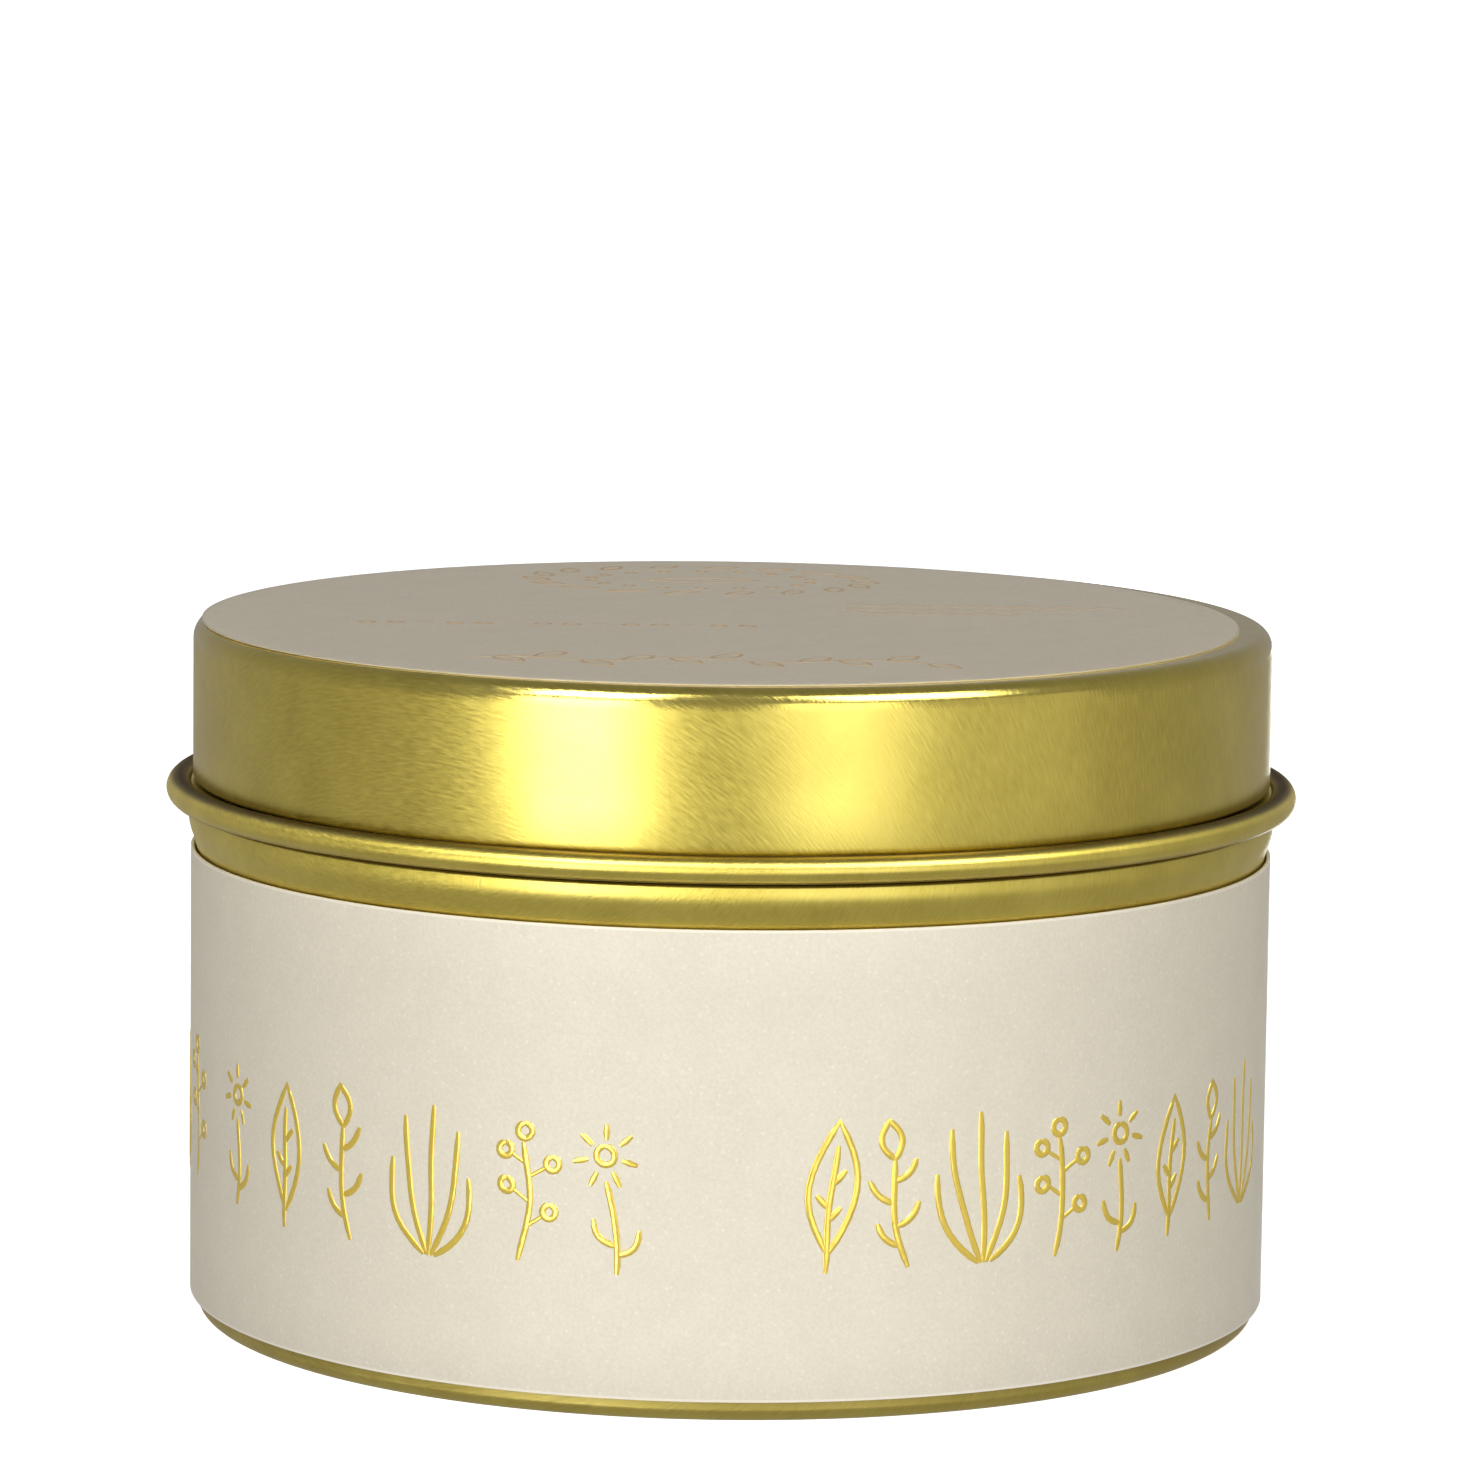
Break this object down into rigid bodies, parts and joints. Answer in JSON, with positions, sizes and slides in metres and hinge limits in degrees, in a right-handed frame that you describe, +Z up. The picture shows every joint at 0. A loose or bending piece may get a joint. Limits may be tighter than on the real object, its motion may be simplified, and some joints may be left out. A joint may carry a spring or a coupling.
{
  "type": "candle tin",
  "caption": "Round slip-lid candle tin with a paper wrap label, poured wax, a cotton wick on a pressed foot, and a flat labelled lid that lifts off.",
  "frame": {"origin": "middle of the standing ring, on the surface that the tin stands on", "axes": "+Z up along the tin's own axis, -Y towards the front of the labels, +X to the right seen from the front"},
  "size_m": [0.0808, 0.0808, 0.05],
  "materials": {
    "tin_body": "satin",
    "wrap_label": "satin",
    "base_label": "matte",
    "sustainer_sticker": "matte",
    "wick_sustainer": "satin",
    "wick": "matte",
    "wax_fill": "satin",
    "lid": "satin",
    "lid_label": "satin",
    "foil_print": "gloss",
    "copper_ink": "satin"
  },
  "bodies": {
    "tin": {"tin_body": "tin_body", "wrap_label": "wrap_label", "base_label": "base_label", "sustainer_sticker": "sustainer_sticker", "wick_sustainer": "wick_sustainer", "wick": "wick", "wax_fill": "wax_fill"},
    "cover": {"lid": "lid", "lid_label": "lid_label"}
  },
  "joints": [
    {"name": "lid_lift", "type": "slide", "parent": "tin", "child": "cover", "axis": [0, 0, 1], "range_m": [0, 0.06]}
  ]
}
